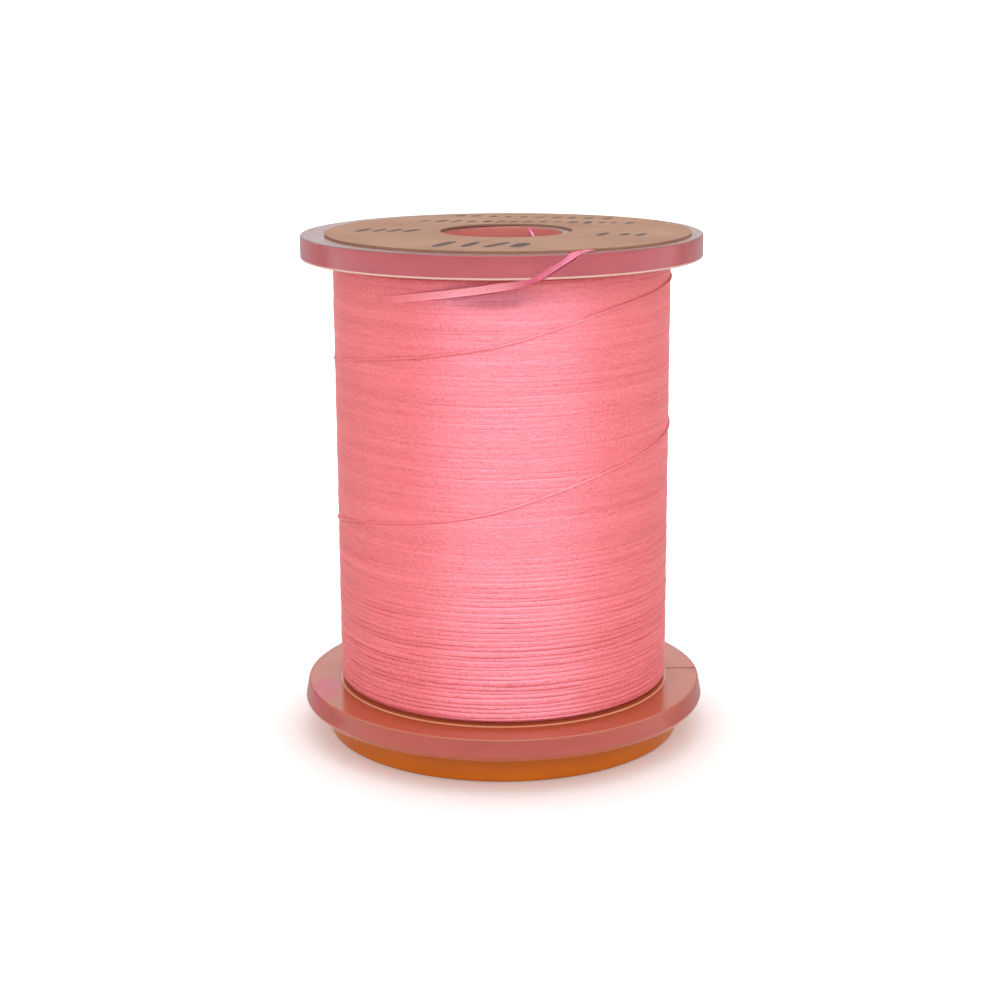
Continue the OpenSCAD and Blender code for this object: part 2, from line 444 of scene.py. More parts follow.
def plastic_material(name, low, high, transmission, rough, specular=0.5, coat=0.0, tints=None):
    """Frosted moulded plastic coloured from low down to high up: on the spool, painted glow of what it holds.

    rough is its least and its most roughness. tints, where it is given, is a function that takes the
    shader, the colour so far and the height, and returns the colour with painted light on single faces and
    edges.
    """
    s = Shader(name)
    cloud = s.noise(s.object_coords((0.35, 0.35, 0.9)), detail=3.0)
    frost = s.noise(s.object_coords((2.5, 2.5, 2.5)), detail=2.0)
    height = s.node("ShaderNodeSeparateXYZ")
    s.join(s.object_coords((1, 1, 1)), height.inputs["Vector"])
    z = height.outputs["Z"]
    # on the spool, painted glow: orange from the base below, pink from the thread above
    body = s.mix(s.rise(z, RIM_Z1, TOP_Z0), low, high)
    body = s.mix(s.span(cloud, 0.0, 0.25), body, (1.0, 0.9, 0.85), blend="SOFT_LIGHT")
    if tints is not None:
        body = tints(s, body, z)
    s.use("Base Color", body)
    s.use("Roughness", s.span(cloud, *rough))
    s.use("Normal", s.bump(frost, 0.003))
    s.set(transmission_weight=transmission, ior=1.49, specular_ior_level=specular)
    s.set(coat_weight=coat, coat_roughness=0.2)
    return s


# painted light on the spool moulding, used in spool_tints: glow, see-through colour and highlights
RIM_TOP_PAINTED_GLOW = (0.52, 0.11, 0.042)
RIM_EDGE_PAINTED_GLOW = (0.58, 0.12, 0.03)
LAND_PAINTED_HIGHLIGHT = (0.85, 0.34, 0.17)
BORE_PAINTED_GLOW = (0.7, 0.2, 0.16)
TOP_FACE_PAINTED_GLOW = (0.27, 0.1, 0.095)
TOP_EDGE_PAINTED_HIGHLIGHT = (0.85, 0.55, 0.45)
TANGLE_PLACE, TANGLE_REACH, TANGLE_PAINTED_GLOW = (-11.3, -3.4, RIM_Z1), (1.05, 2.8, 2.0), (0.62, 0.02, 0.09)


def spool_tints(s, body, z):
    """Painted light on the spool's faces and edges: glow seen through the plastic, and highlights."""
    from_axis = s.distance((0, 0, 0), (1, 1, math.inf))
    low_down = s.fall(z, RIM_Z1 + 0.5, RIM_Z1 + 0.6)
    # painted glow: the winding's pink reflected in and seen through the lower flange's top face
    rim_top_glow = s.both(s.rise(z, RIM_Z1 - 0.14, RIM_Z1 - 0.04), low_down)
    body = s.mix(rim_top_glow, body, RIM_TOP_PAINTED_GLOW)
    # painted glow of the thread on the bore's wall
    body = s.mix(s.fall(from_axis, BORE_R + 0.2, BORE_R + 0.4), body, BORE_PAINTED_GLOW)
    # a weaker painted glow on the top flange's top face
    body = s.mix(s.rise(z, TOP_Z1 - 0.12, TOP_Z1 - 0.03), body, TOP_FACE_PAINTED_GLOW)
    # painted glow of the start tangle seen through the lower flange, with a ragged edge
    ragged = s.rise(s.noise(s.object_coords((2.6, 2.6, 2.6)), detail=5.0, rough=0.7), 0.34, 0.5)
    tangle_glow_mask = s.both(s.fall(s.distance(TANGLE_PLACE, TANGLE_REACH), 0.6, 1.0), ragged)
    body = s.mix(tangle_glow_mask, body, TANGLE_PAINTED_GLOW)
    # painted highlight: a cream line along the top flange's lower edge
    edge_highlight = s.both(s.fall(z, TOP_Z0 + 0.1, TOP_Z0 + 0.16), s.rise(z, TOP_Z0 - 0.2, TOP_Z0 - 0.02))
    body = s.mix(edge_highlight, body, TOP_EDGE_PAINTED_HIGHLIGHT)
    # painted glow: the orange base seen through the lower flange's bottom edge
    body = s.mix(s.fall(z, RIM_Z0 + 0.1, RIM_Z0 + 0.34), body, RIM_EDGE_PAINTED_GLOW)
    # painted highlight: a cream line on the step at the winding's foot
    on_land = s.both(s.rise(z, RIM_Z1 + 0.005, RIM_Z1 + LAND_T * 0.8), low_down)
    outside_winding = s.rise(from_axis, WIND_R - 0.03, WIND_R + 0.03)
    return s.mix(s.both(on_land, outside_winding), body, LAND_PAINTED_HIGHLIGHT)


# ---------------------------------------------------------------- spool moulding
def build_spool():
    """Two flanges on a hollow barrel, with a leaning slit in the upper one and a fine one below."""
    edge, soft, sharp = 0.13, 0.06, 0.02
    outline = rounded([
        (LIP_R, RIM_Z0, soft),
        (LIP_R, RIM_Z0 + LIP_H, soft),
        (BARREL_IN_R, RIM_Z0 + LIP_H, 0),
        (BARREL_IN_R, TOP_Z0, 0.15),
        (BORE_R, TOP_Z0, soft),
        (BORE_R, TOP_Z1, edge),
        (TOP_R, TOP_Z1, edge),
        (TOP_R, TOP_Z0, edge),
        (BARREL_R, TOP_Z0, FILLET),
        (BARREL_R, RIM_Z1 + LAND_T, FILLET),
        (LAND_R, RIM_Z1 + LAND_T, sharp),
        (LAND_R + LAND_SLOPE, RIM_Z1, sharp),
        (RIM_R - RIM_DRAFT, RIM_Z1, edge),
        (RIM_R, RIM_Z0 + RIM_CHAMFER_H, 0.05),
        (RIM_R - RIM_CHAMFER_W, RIM_Z0, 0.05),
    ])
    spool = turned("spool_moulding", outline)
    outwards = Matrix.Rotation(math.radians(90), 4, "X")
    lean = TOP_R * math.sin(math.radians(TOP_SLIT_LEAN))
    half_t = (TOP_Z1 - TOP_Z0) / 2
    half_w = TOP_SLIT_HALF_W / math.sin(math.atan(half_t / lean))
    over = 1.1
    slant = [(-lean * over - half_w, -half_t * over), (-lean * over + half_w, -half_t * over),
             (lean * over + half_w, half_t * over), (lean * over - half_w, half_t * over)]
    turn = Matrix.Rotation(math.radians(TOP_SLIT_ANGLE), 4, "Z")
    place = turn @ Matrix.Translation((0, 0, TOP_Z0 + half_t)) @ outwards
    top_cut = prism("top_cut", slant, TOP_SLIT_R, TOP_R + 1, place)
    w = RIM_SLIT_HALF_W
    fine = [(-w, RIM_Z0 - 1), (w, RIM_Z0 - 1), (w, RIM_Z1 + 1), (-w, RIM_Z1 + 1)]
    place = Matrix.Rotation(math.radians(RIM_SLIT_ANGLE), 4, "Z") @ outwards
    rim_cut = prism("rim_cut", fine, RIM_SLIT_R, RIM_R + 1, place)
    carve(spool, top_cut, rim_cut)
    soften(spool)
    return spool


def build_base():
    """The lock base: a foot, a channel for the thread's start, and a collar of fingers with a bead."""
    edge = 0.1
    gap = 0.02
    z_top = RIM_Z0 - gap
    outline = rounded([
        (BORE_R, 0, 0.08),
        (BORE_R + HUB_RING_W, 0, 0.08),
        (BORE_R + HUB_RING_W, FOOT_T, 0.1),
        (BASE_R - FOOT_RING_W, FOOT_T, 0.1),
        (BASE_R - FOOT_RING_W, 0, 0.1),
        (BASE_R, 0, 0.26),
        (BASE_R, base_low.z + RIM_Z0 - CHANNEL_T, edge),
        (CHANNEL_R, RIM_Z0 - CHANNEL_T, 0.03),
        (CHANNEL_R, z_top, 0.03),
        (COLLAR_R, z_top, 0.05),
        (COLLAR_R, BEAD_Z, 0.05),
        (BEAD_R, BEAD_Z, 0.1),
        (BEAD_R, BEAD_Z + BEAD_T / 2, 0.1),
        (COLLAR_R, BEAD_Z + BEAD_T, 0.05),
        (COLLAR_IN_R, BEAD_Z + BEAD_T, 0.1),
        (COLLAR_IN_R, z_top, 0.12),
        (BORE_R, z_top, 0.08),
    ], steps=4)
    outline.reverse()
    base = turned("lock_base", outline, columns=192)
    cutters = []
    for k in range(FINGERS):
        place = Matrix.Rotation(math.radians(360 * (k + 0.5) / FINGERS), 4, "Z")
        inner, outer, half = COLLAR_IN_R - 0.5, BEAD_R + 0.5, FINGER_GAP / 2
        slot = [(inner, -half), (outer, -half), (outer, half), (inner, half)]
        cutters.append(prism("gap", slot, RIM_Z0 + 0.05, BEAD_Z + BEAD_T + 1, place))
    carve(base, *cutters)
    soften(base)
    return base


# ---------------------------------------------------------------- paper label
LABEL_HOLE = (0.3, -0.3)
LABEL_HOLE_R = 4.1
LABEL_GAP = 0.004
LIFT_T, LIFT_W = 0.05, 0.16  # how far the paper rises over the strand, and how far to each side
PRINT_GAP = 0.006
PRINT_GROUPS = [  # where it starts and ends, mark length, mark depth, gap
    ((-3.0, 9.3), (7.2, 6.8), 0.5, 1.0, 0.45),
    ((-5.2, 5.9), (8.2, 3.9), 0.5, 1.3, 0.4),
    ((-8.9, 0.2), (-5.2, -0.3), 0.5, 2.2, 0.45),
    ((5.9, -2.8), (9.2, -3.4), 0.45, 1.8, 0.5),
    ((-3.7, -7.9), (2.1, -8.8), 0.75, 2.8, 0.7),
]


def build_label(tail):
    """A ring of paper whose hole is off centre; it rises a little over the strand beneath it."""
    columns, rings = 180, 30
    low, high = TOP_Z1 + LABEL_GAP, label_high.z
    verts = []
    tail = np.asarray(tail)[:, :2]
    for level in (high, low):
        for i in range(columns):
            a = 2 * math.pi * i / columns
            out = np.array((math.sin(a), -math.cos(a)))
            inner = np.array(LABEL_HOLE) + LABEL_HOLE_R * out
            outer = np.array((LABEL_CENTRE.x, LABEL_CENTRE.y)) + LABEL_R * out
            for k in range(rings + 1):
                p = inner + (outer - inner) * k / rings
                near = np.min(np.hypot(*(tail - p).T))
                lift = LIFT_T * math.exp(-(near / LIFT_W) ** 2) if level == high else 0
                verts.append((p[0], p[1], level + lift))
    row = rings + 1
    sheet = columns * row
    faces = []
    for i in range(columns):
        j = (i + 1) % columns
        for k in range(rings):
            patch = (i * row + k, i * row + k + 1, j * row + k + 1, j * row + k)
            faces.append(patch[::-1])
            faces.append(tuple(sheet + p for p in patch))
        faces.append((i * row, j * row, sheet + j * row, sheet + i * row)[::-1])
        faces.append((i * row + rings, j * row + rings, sheet + j * row + rings, sheet + i * row + rings))
    label = make_object("paper_label", verts, faces)
    label.data.set_sharp_from_angle(angle=math.radians(40))
    return label


def build_print():
    """Plain leaning marks in place of lettering: two rows at the label's back and three short groups."""
    rng = random.Random(SEED)
    verts, faces = [], []
    z = label_high.z + PRINT_GAP
    corners, squareness = 16, -0.3
    for first, last, length, depth, gap in PRINT_GROUPS:
        x = first[0]
        while x < last[0] - length / 2:
            size = length * rng.uniform(0.7, 1.3)
            half = depth / 2 * rng.uniform(0.55, 1.0)
            lean = rng.uniform(0.25, 0.6)
            middle_y = lookup(x + size / 2, (first, last))
            start = len(verts)
            for k in range(corners):
                a = 2 * math.pi * (k + 0.5) / corners
                sy = half * math.sin(a) * abs(math.sin(a)) ** squareness
                sx = size / 2 * math.cos(a) * abs(math.cos(a)) ** squareness + lean * sy
                verts.append((x + size / 2 + sx, middle_y + sy, z))
            faces.append(tuple(range(start, start + corners)))
            x += size + gap * rng.uniform(0.8, 1.5)
    return make_object("label_print", verts, faces)


# ---------------------------------------------------------------- winding
TURN_PITCH = 0.3
COLUMNS = 360
ACROSS = (0.0, 0.07, 0.16, 0.28, 0.42, 0.58, 0.72, 0.84, 0.93)  # places across the strand, but not 1
# each of these four: how much, and the share of a turn in which it changes
EDGE_STRAY, EDGE_JITTER = (0.045, 0.3), (0.014, 0.03)
GAP_SWELL, GAP_JITTER = (0.4, 0.12), (0.3, 0.03)
GAP_MEAN, GAP_MOST, GAP_MOST_LOW_DOWN = 0.25, 1.3, 2.2
CROWN_CHANGE = 0.05
LOOSE_BELOW, LOOSE_FADE = 0.42, 0.27  # shares of the winding's height; the turns low down lie looser
VALLEY_W, VALLEY_T = 0.03, 0.045
END_H, END_T = 0.17, 0.3  # the winding rounds off next to the flanges
HOLLOW_ANGLE, HOLLOW_W, HOLLOW_Z, HOLLOW_H, HOLLOW_T = -3, 15, 28.55, 0.55, 0.4  # below the top slit


def smooth_noise(rng, count, period):
    """count values of smooth noise about 0, with one new value every period steps."""
    knots = rng.normal(0, 1, int(count / period) + 4)
    x = np.arange(count) / period
    i = x.astype(int)
    t = x - i
    p0, p1, p2, p3 = knots[i], knots[i + 1], knots[i + 2], knots[i + 3]
    return 0.5 * (2 * p1 + (p2 - p0) * t + (2 * p0 - 5 * p1 + 4 * p2 - p3) * t ** 2
                  + (3 * p1 - p0 - 3 * p2 + p3) * t ** 3)


def build_winding():
    """The wound thread: one flat strand laid turn on turn, with wandering edges and uneven gaps.

    The first turn is a wedge that grows from nothing and the last one a wedge that runs out level.
    """
    rng = np.random.default_rng(SEED)
    height = WIND_Z1 - WIND_Z0
    turns = int(height / TURN_PITCH) + 1
    pitch = height / (turns - 1)
    steps = turns * COLUMNS
    longer = steps + COLUMNS + 1

    def uneven(size, share):
        """Smooth noise of that size, with a new value in each such share of a turn."""
        return size * smooth_noise(rng, longer, COLUMNS * share)

    wander = uneven(*EDGE_STRAY)
    wander += uneven(*EDGE_JITTER)
    gap = GAP_MEAN + uneven(*GAP_SWELL)
    gap += uneven(*GAP_JITTER)
    level = np.arange(longer) / steps
    low_down = np.clip((LOOSE_BELOW - level) / LOOSE_FADE, 0, 1)
    gap = np.clip(gap, 0.0, GAP_MOST) * (0.55 + 1.45 * low_down) + 0.5 * low_down
    gap = np.clip(gap, 0, GAP_MOST_LOW_DOWN)
    crown = uneven(1, CROWN_CHANGE)
    s = np.arange(steps + 1)

    def edge_height(at):
        turn = at / COLUMNS
        fade = np.clip(np.minimum(turn - 1, turns - turn), 0, 1)
        return WIND_Z0 + pitch * np.clip(turn - 1, 0, turns - 1) + wander[at] * fade

    low_z = edge_height(s)[:, None]
    width = edge_height(s + COLUMNS)[:, None] - low_z
    u = np.array((*ACROSS, 1.0))[None, :]
    z = low_z + width * u
    cuts = gap[s][:, None] * np.exp(-(u * width / VALLEY_W) ** 2)
    cuts += gap[s + COLUMNS][:, None] * np.exp(-((1 - u) * width / VALLEY_W) ** 2)
    fullness = 0.006 + (0.003 + 0.003 * low_down[s]) * crown[s] + 0.011 * low_down[s]
    bulge = fullness[:, None] * (1 - (2 * u - 1) ** 2) * width / pitch
    broad = 0.01 * np.sin(z * 2.1 + 0.7) + 0.006 * np.sin(z * 5.3)
    end = np.minimum(z - WIND_Z0, WIND_Z1 - z)
    angle = 2 * math.pi * (s / COLUMNS)[:, None]
    from_hollow = np.mod(np.degrees(angle) + 180 - HOLLOW_ANGLE, 360) - 180
    hollow = HOLLOW_T * np.exp(-(from_hollow / HOLLOW_W) ** 2) * np.clip((z - HOLLOW_Z) / HOLLOW_H, 0, 1)
    r = WIND_R - 0.015 + bulge + broad - VALLEY_T * cuts - END_T * np.exp(-(end / END_H) ** 2) - hollow
    r = np.maximum(r, BARREL_R + 0.05)
    verts = np.stack([r * np.sin(angle), -r * np.cos(angle), z], axis=2)
    bands = ("winding_low", "winding_middle", "winding_high")
    edges = [turns * b // len(bands) * COLUMNS for b in range(len(bands) + 1)]
    return [winding_piece(name, verts, edges[b], edges[b + 1], pitch) for b, name in enumerate(bands)]


def winding_piece(name, verts, first, last, pitch):
    """Steps first to last of the wound strand as one closed mesh, with a plain wall on the barrel."""
    rows = len(ACROSS)
    count = last - first
    points = [tuple(p) for p in verts[first:last + 1, :rows].reshape(-1, 3)]
    upper = []
    for i in range(count + 1):  # a turn's upper edge is the next turn's lower one
        above = i + COLUMNS
        if above <= count:
            upper.append(above * rows)
        else:
            upper.append(len(points))
            next_turn = first + above
            edge = verts[next_turn, 0] if next_turn < len(verts) else verts[first + i, rows]
            points.append(tuple(edge))
    step = 2 * math.pi * WIND_R / COLUMNS
    faces, uv = [], []
    for i in range(count):
        along = (first + i) * step
        across = [(x + (first + i) // COLUMNS) * pitch for x in (*ACROSS, 1.0)]
        here = [i * rows + k for k in range(rows)] + [upper[i]]
        after = [(i + 1) * rows + k for k in range(rows)] + [upper[i + 1]]
        for k in range(rows):
            v0, v1 = across[k], across[k + 1]
            faces.append((here[k], after[k], after[k + 1], here[k + 1]))
            uv += [(along, v0), (along + step, v0), (along + step, v1), (along, v1)]
    outside = len(faces)

    def inward(edge):
        """Points on the barrel level with the points of an edge."""
        start = len(points)
        for j, p in enumerate(edge):
            points.append(polar(360 * j / COLUMNS, BARREL_R + 0.01, points[p][2]))
        return list(range(start, start + len(edge)))

    lower_edge = [j * rows for j in range(COLUMNS + 1)]
    upper_edge = upper[count - COLUMNS:]
    low, high = inward(lower_edge), inward(upper_edge)
    end = COLUMNS
    for j in range(COLUMNS):
        faces.append((lower_edge[j], low[j], low[j + 1], lower_edge[j + 1]))
        faces.append((upper_edge[j], upper_edge[j + 1], high[j + 1], high[j]))
        if 0 < j < COLUMNS - 1:
            faces.append((low[j], high[j], high[j + 1], low[j + 1]))
    faces.append((low[0], low[end], high[0], high[1], low[1]))
    faces.append((low[end - 1], high[end - 1], high[end], high[0], low[end]))
    faces.append((*range(rows), upper[0], low[end], low[0]))
    faces.append((*range(count * rows, count * rows + rows), upper[count], high[end], high[0]))
    uv += [(0, 0)] * sum(len(f) for f in faces[outside:])
    obj = make_object(name, points, faces, uv)
    mesh = bmesh.new()
    mesh.from_mesh(obj.data)
    mesh.faces.ensure_lookup_table()
    for face in mesh.faces[outside:]:
        for edge in face.edges:
            edge.smooth = False
    bmesh.ops.remove_doubles(mesh, verts=mesh.verts, dist=0.001 * MM)
    bmesh.ops.recalc_face_normals(mesh, faces=mesh.faces)
    mesh.to_mesh(obj.data)
    mesh.free()
    return obj


# ---------------------------------------------------------------- loose strands
CROSSING_W, CROSSING_T = 0.17, 0.12
BAND_W, BAND_T = 0.125, 0.09
PRESSED_W = 0.13  # how much wider the tail is where it is pressed flat
START_W, START_T = 0.12, 0.08
TANGLE_W, TANGLE_T = 0.06, 0.045
CROSSING_STEP = 2
CROSSING_ROUTE = [  # angle and height
    (-150, 12.2), (-76, 14.3), (-56, 15), (-21, 15.9), (0, 16.7), (15, 17.6), (33, 18.5), (52, 19.2),
    (77, 19.9), (180, 22.2), (280, 24.4), (337, 25.8), (360, 26.5), (379, 27.5), (401, 28.5), (434, 29.2),
    (500, 29.9), (540, 29.6), (608, 27.3),
]
BAND_FROM, BAND_TO, BAND_STEP = -112, 25.5, 1.5
BAND_LANES, TAIL_LANE, TAIL_TURN = (-0.5, 0.5, 1.5), -1.5, 21
BAND_HEIGHT = [  # angle and height of the band's middle
    (-112, 27.1), (-66, 28.35), (-34, 29.05), (-7, 29.75), (3, 30.05), (7, 30.36), (9, 30.56),
    (20, 31.98), (21, 32.07), (25.5, 32.07),
]
BAND_RADIUS = [
    (-112, STRAND_R - 0.16), (-54, STRAND_R - 0.15), (-32, STRAND_R - 0.01), (-1, STRAND_R + 0.02),
    (4, 10.9), (8, 12.05), (14, 12.18), (25.5, 12.18),
]
# from one strand of the band to the next, again for each angle
LANE_ANGLE = [(-3, 0), (5, 1.02), (20, 1.02), (25.5, 0.3)]
LANE_HEIGHT = [(-112, 0.113), (0, 0.113), (5, 0.045), (9, 0.015), (11, 0)]
LANE_RADIUS = [(14, 0), (20, 0.09), (21, 0.113), (25.5, 0.113)]
FLAT_Z = TOP_Z1 + 0.055
WALL_R = BORE_R - 0.07
TAIL_ROUTE = [  # angle, radius and height: under the label, down the wall of the bore, and into the barrel
    (27, 11.3, FLAT_Z), (34, 9.8, FLAT_Z), (55, 8.2, FLAT_Z), (80, 7.2, FLAT_Z),
    (110, 6.5, FLAT_Z), (136, 5.9, FLAT_Z), (149, 5.1, FLAT_Z), (153.4, 4.2, FLAT_Z),
    (153.4, WALL_R, TOP_Z1 - 0.1), (150, WALL_R, 31.65), (147, WALL_R, 31.33), (142, WALL_R, 30.8),
    (139, 4.1, 30.1), (136, 4.7, 29.2), (134, 5.1, 28.0), (135, 5.2, 26.6), (138, 5.1, 25.2),
]
START_R, START_FROM, START_TO, START_STEP = 10.6, 92, 280, 4
TANGLE_LOOPS = 14
TANGLE_ANGLES, TANGLE_RADII = (271, 298), (10.5, 12.4)
LOOP_ANGLES, LOOP_RADII = (273, 296), (10.8, 12.1)  # where its loops begin
LOOP_TURN, LOOP_STEP_ANGLE, LOOP_STEP_R = 75, 3.1, 0.5


def band_points(lane, to):
    """Points of one strand of the band that climbs through the top slit, up to an angle."""
    points = []
    for k in range(int((to - BAND_FROM) / BAND_STEP) + 1):
        a = BAND_FROM + BAND_STEP * k
        points.append(polar(a + lane * lookup(a, LANE_ANGLE),
                            lookup(a, BAND_RADIUS) + lane * lookup(a, LANE_RADIUS),
                            lookup(a, BAND_HEIGHT) - lane * lookup(a, LANE_HEIGHT)))
    return points


def smoothed(points, passes):
    """The same points with kinks eased out; the ends stay."""
    pts = np.asarray(points, float)
    for _ in range(passes):
        pts[1:-1] = (pts[:-2] + 2 * pts[1:-1] + pts[2:]) / 4
    return pts


def tail_width(path):
    """The tail spreads flat where it is pressed against the wall of the bore."""
    in_bore = np.hypot(path[:, 0], path[:, 1]) < BORE_R
    return BAND_W + PRESSED_W * np.convolve(in_bore, np.ones(5) / 5, "same")


def build_strands():
    """The crossing run, the band through the slit and the tail, and the tail's path on the flange."""
    made = {}
    first, last = CROSSING_ROUTE[0][0], CROSSING_ROUTE[-1][0]
    angles = range(first, last + 1, CROSSING_STEP)
    crossing = smoothed([polar(a, STRAND_R + 0.03, lookup(a, CROSSING_ROUTE)) for a in angles], 12)
    made["crossing_run"] = strand_object("crossing_run", [strand_parts(crossing, CROSSING_W, CROSSING_T)])
    parts = []
    for lane in BAND_LANES:
        path = spline(smoothed(band_points(lane, BAND_TO), 2), 4)
        parts.append(strand_parts(path, BAND_W, BAND_T))
    made["slit_band"] = strand_object("slit_band", parts)
    tail = band_points(TAIL_LANE, TAIL_TURN) + [polar(*p) for p in TAIL_ROUTE]
    path = spline(smoothed(tail, 1), 6)
    made["finish_end"] = strand_object("finish_end", [strand_parts(path, tail_width, BAND_T)])
    flat = path[path[:, 2] > TOP_Z1]
    return made, flat


def build_start():
    """The thread's start, round the channel in the base, and the flat tangle that it ends in."""
    rng = random.Random(SEED)
    z = RIM_Z0 - CHANNEL_T / 2
    low_angle, high_angle = TANGLE_ANGLES
    low_r, high_r = TANGLE_RADII
    ring = [polar(a, START_R, z) for a in range(START_FROM, START_TO + 1, START_STEP)]
    parts = [strand_parts(spline(ring, 4), START_W, START_T)]
    for _ in range(TANGLE_LOOPS):
        angle, radius = rng.uniform(*LOOP_ANGLES), rng.uniform(*LOOP_RADII)
        points = []
        heading = rng.uniform(0, 360)
        for k in range(rng.randint(9, 16)):
            points.append(polar(angle, radius, rng.uniform(RIM_Z0 - CHANNEL_T + 0.05, RIM_Z0 - 0.05)))
            heading += rng.uniform(-LOOP_TURN, LOOP_TURN)
            angle += LOOP_STEP_ANGLE * math.cos(math.radians(heading))
            radius += LOOP_STEP_R * math.sin(math.radians(heading))
            if not low_angle < angle < high_angle:
                heading = 180 - heading
                angle = min(max(angle, low_angle), high_angle)
            if not low_r < radius < high_r:
                heading = -heading
                radius = min(max(radius, low_r), high_r)
        loop = spline(points, 8)
        parts.append(strand_parts(loop, TANGLE_W, TANGLE_T, step=0.08, outward=(0, 0, 1)))
    return strand_object("start_tangle", parts)


# ---------------------------------------------------------------- looks
# painted shade on the winding just under the top flange
UNDER_RIM_PAINTED_SHADE = (polar(-4, WIND_R, 29.2), (4.6, 4.6, 0.8), (0.68, 0.56, 0.56))
# painted shade on the band where it lies on the top flange in the light from above
ON_TOP_PAINTED_SHADE = (polar(23, 12.2, TOP_Z1 + 0.1), (1.6, 1.6, 0.45), (0.6, 0.46, 0.35))
# partly the band's own paler tone, partly painted light where it runs in the top flange's shade
IN_SLIT = ((0.79, 0.28, 0.31), 12.5, 18)
PAST_SLIT = ((0.62, 0.105, 0.17), 20.5, 22.5)
ORANGE = (0.49, 0.112, 0.002)
thread = thread_material("pink_thread", (0.49, 0.067, 0.065), (0.69, 0.145, 0.149), 0.03, dim=UNDER_RIM_PAINTED_SHADE)
loose_thread = thread_material("loose_thread", (0.62, 0.1, 0.17), (0.72, 0.15, 0.24), 0.012)
band_thread = thread_material("band_thread", (0.51, 0.07, 0.07), (0.72, 0.152, 0.158), 0.012,
                              ribbon=(IN_SLIT, PAST_SLIT), dim=ON_TOP_PAINTED_SHADE)
# painted glow: the spool's red colours stand in for the thread's light carried through the plastic
spool_plastic = plastic_material("frosted_spool", (0.455, 0.066, 0.04), (0.44, 0.057, 0.075),
                                 transmission=0.42, rough=(0.18, 0.27), coat=0.35, tints=spool_tints)
base_plastic = plastic_material("orange_base", ORANGE, ORANGE,
                                transmission=0.15, rough=(0.16, 0.24), specular=0.25)


def paper_material():
    """Brown paper with fibres and faint stains."""
    s = Shader("kraft_paper")
    fibre = s.noise(s.object_coords((3.2, 3.2, 1)), detail=5.0, rough=0.65)
    stain = s.noise(s.object_coords((0.22, 0.22, 1)), detail=2.0)
    base = s.ramp(s.mix(0.45, stain, fibre), [(0.3, (0.222, 0.11, 0.067)), (0.7, (0.34, 0.185, 0.116))])
    s.use("Base Color", base)
    s.use("Roughness", s.span(fibre, 0.5, 0.7))
    s.use("Normal", s.bump(fibre, 0.01))
    s.set(specular_ior_level=0.2)
    return s


def ink_material():
    """Dark ink that has worn away in places."""
    s = Shader("faded_ink")
    worn = s.noise(s.object_coords((2.6, 2.6, 1)), detail=4.0, rough=0.7)
    s.use("Base Color", s.ramp(worn, [(0.42, (0.035, 0.024, 0.034)), (0.68, (0.16, 0.095, 0.07))]))
    s.use("Roughness", s.span(worn, 0.5, 0.7))
    s.set(specular_ior_level=0.1)
    return s


spool = build_spool()
dress(spool, spool_plastic)
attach(spool, "spool")
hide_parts("spool_barrel", "top_flange", "lower_flange")

base = build_base()
dress(base, base_plastic)
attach(base, "base")
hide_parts("thread_lock_base")

windings = build_winding()
for piece in windings:
    dress(piece, thread)
    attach(piece, "spool")
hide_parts("thread_winding")

strands, tail_path = build_strands()
strands["start_tangle"] = build_start()
stands_for = {"crossing_run": "crossing_strand", "slit_band": "slit_strands", "finish_end": "finish_tail",
              "start_tangle": "start_tail"}
strand_looks = {"crossing_run": thread, "slit_band": band_thread, "finish_end": band_thread,
                "start_tangle": loose_thread}
for name, piece in strands.items():
    dress(piece, strand_looks[name])
    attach(piece, "spool")
    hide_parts(stands_for[name])

label = build_label(tail_path)
dress(label, paper_material())
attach(label, "spool")
bars = build_print()
dress(bars, ink_material())
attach(bars, "spool")
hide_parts("top_label")


# ---------------------------------------------------------------- studio
BACKDROP_LIGHT, LOW_BACKDROP_LIGHT, BACKDROP_RISE = 1.22, 1.06, (0.04, 0.22)
WORLD_LIGHT, OVERHEAD_RISE = 0.66, (0.4, 0.7)
OVERHEAD_LIGHT, OVERHEAD_SPREAD = 1.9, 100
FLOOR_R, FLOOR_BOTTOM, FLOOR_TOP, FLOOR_GLOW = 30000, -5.0, -0.02, 0.33
BOARDS = (  # name, one end, other end, bottom, top, lightness
    ("left_flag", (-24, 75), (-95, 28), 0, 60, 0.35),
    ("right_flag", (24, 75), (95, 28), 0, 60, 0.35),
    ("back_board", (-24, 75), (24, 75), 6, 37, 0.6),
    ("upper_board", (-24, 75), (24, 75), 37, 60, 0.43),
)
BOARD_FOOT = ((40, -4), (13, -4))


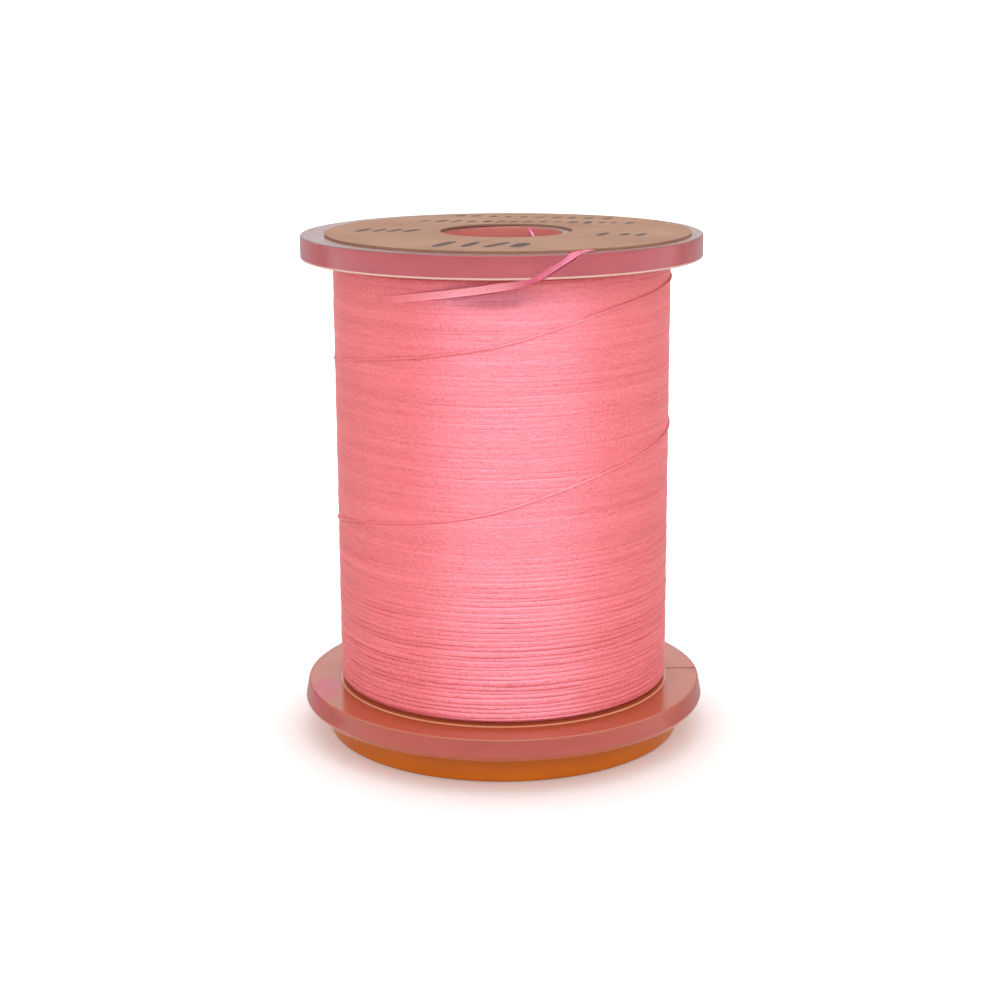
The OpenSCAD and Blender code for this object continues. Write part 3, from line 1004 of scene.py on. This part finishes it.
def build_studio():
    """A white backdrop that is darker at the horizon and overhead, a pale floor and soft light from above."""
    world = bpy.data.worlds.new("studio")
    scene.world = world
    world.use_nodes = True
    tree = world.node_tree
    sky = tree.nodes["Background"]
    sky.inputs["Color"].default_value = (1, 1, 1, 1)
    direction = tree.nodes.new("ShaderNodeSeparateXYZ")
    tree.links.new(tree.nodes.new("ShaderNodeTexCoord").outputs["Generated"], direction.inputs["Vector"])

    def ramp(source, values):
        """source turned into another value: from least, from most, to least, to most."""
        node = tree.nodes.new("ShaderNodeMapRange")
        node.interpolation_type = "SMOOTHSTEP"
        for key, value in zip(("From Min", "From Max", "To Min", "To Max"), values):
            node.inputs[key].default_value = value
        tree.links.new(source, node.inputs["Value"])
        return node.outputs["Result"]

    backdrop = ramp(direction.outputs["Z"], (*BACKDROP_RISE, LOW_BACKDROP_LIGHT, BACKDROP_LIGHT))
    overhead = ramp(direction.outputs["Z"], (*OVERHEAD_RISE, 1.0, WORLD_LIGHT / BACKDROP_LIGHT))
    strength = tree.nodes.new("ShaderNodeMath")
    strength.operation = "MULTIPLY"
    tree.links.new(backdrop, strength.inputs[0])
    tree.links.new(overhead, strength.inputs[1])
    tree.links.new(strength.outputs["Value"], sky.inputs["Strength"])
    corners = [(0.0001, FLOOR_BOTTOM), (FLOOR_R, FLOOR_BOTTOM), (FLOOR_R, FLOOR_TOP), (0.0001, FLOOR_TOP)]
    floor = turned("floor", corners, columns=128)
    s = Shader("pale_floor")
    grain = s.noise(s.object_coords((0.02, 0.02, 0.02)), detail=2.0)
    s.use("Base Color", s.ramp(grain, [(0.3, (0.9, 0.9, 0.9)), (0.7, (0.93, 0.93, 0.93))]))
    s.set(roughness=0.9, specular_ior_level=0.0, emission_strength=FLOOR_GLOW)
    s.surface.inputs["Emission Color"].default_value = (1, 1, 1, 1)
    dress(floor, s)
    data = bpy.data.lights.new("overhead", "SUN")
    data.energy = OVERHEAD_LIGHT
    data.angle = math.radians(OVERHEAD_SPREAD)
    scene.collection.objects.link(bpy.data.objects.new("overhead", data))


def boards_behind():
    """Grey boards behind the object that only show in its gloss: dark to left and right, paler between.

    Those that stand on the floor have a foot that runs along it to the object's side.
    """
    for name, near, far, bottom, top, lightness in BOARDS:
        s = Shader(name)
        grain = s.noise(s.object_coords((0.05, 0.05, 0.05)), detail=2.0)
        s.use("Base Color", s.ramp(grain, [(0.3, (lightness,) * 3), (0.7, (lightness * 1.1,) * 3)]))
        s.set(roughness=0.9, specular_ior_level=0.0)
        corners = [(*near, bottom), (*far, bottom), (*far, top), (*near, top)]
        faces = [(0, 1, 2, 3)]
        if bottom == 0:
            side = math.copysign(1, near[0])
            corners += [(side * x, y, 0) for x, y in BOARD_FOOT]
            faces.append((0, 1, 4, 5))
        board = make_object(name, corners, faces)
        dress(board, s)
        for rays in ("camera", "diffuse", "shadow", "transmission"):
            setattr(board, "visible_" + rays, False)


def area_light(name, place, target, size, power):
    """A rectangular light that points at a target; all in metres and watts."""
    data = bpy.data.lights.new(name, "AREA")
    data.shape = "RECTANGLE"
    data.size, data.size_y = size
    data.energy = power
    light = bpy.data.objects.new(name, data)
    light.location = place
    light.rotation_euler = (Vector(target) - Vector(place)).to_track_quat("-Z", "Y").to_euler()
    scene.collection.objects.link(light)
    return light


build_studio()
boards_behind()
middle = (0, 0, 0.017)
area_light("front_box", (0.05, -0.32, 0.27), middle, (0.9, 0.2), 1.0)
sheen_box = area_light("sheen_box", (0.045, -0.34, 0.24), middle, (0.8, 0.34), 7.2)
sheen_box.visible_diffuse = False
thread_pieces = bpy.data.collections.new("thread_pieces")  # the only ones that sheen_box lights
for piece in (*windings, *strands.values()):
    thread_pieces.objects.link(piece)
sheen_box.light_linking.receiver_collection = thread_pieces

# ---------------------------------------------------------------- camera
LENS = 69.92
CAMERA_PLACE = (0, -0.12121, 0.04452)
PITCH_DOWN, YAW_LEFT, ROLL = 0.2402, 0.00144, -0.0048  # radians
camera = bpy.data.objects.new("camera", bpy.data.cameras.new("camera"))
scene.collection.objects.link(camera)
scene.camera = camera
camera.data.sensor_width = 36
camera.data.lens = LENS
camera.data.clip_start, camera.data.clip_end = 0.001, 10
camera.location = CAMERA_PLACE
aim = Euler((math.pi / 2 - PITCH_DOWN, 0, YAW_LEFT)).to_matrix() @ Matrix.Rotation(ROLL, 3, "Z")
camera.rotation_euler = aim.to_euler()
scene.view_settings.view_transform = "Standard"
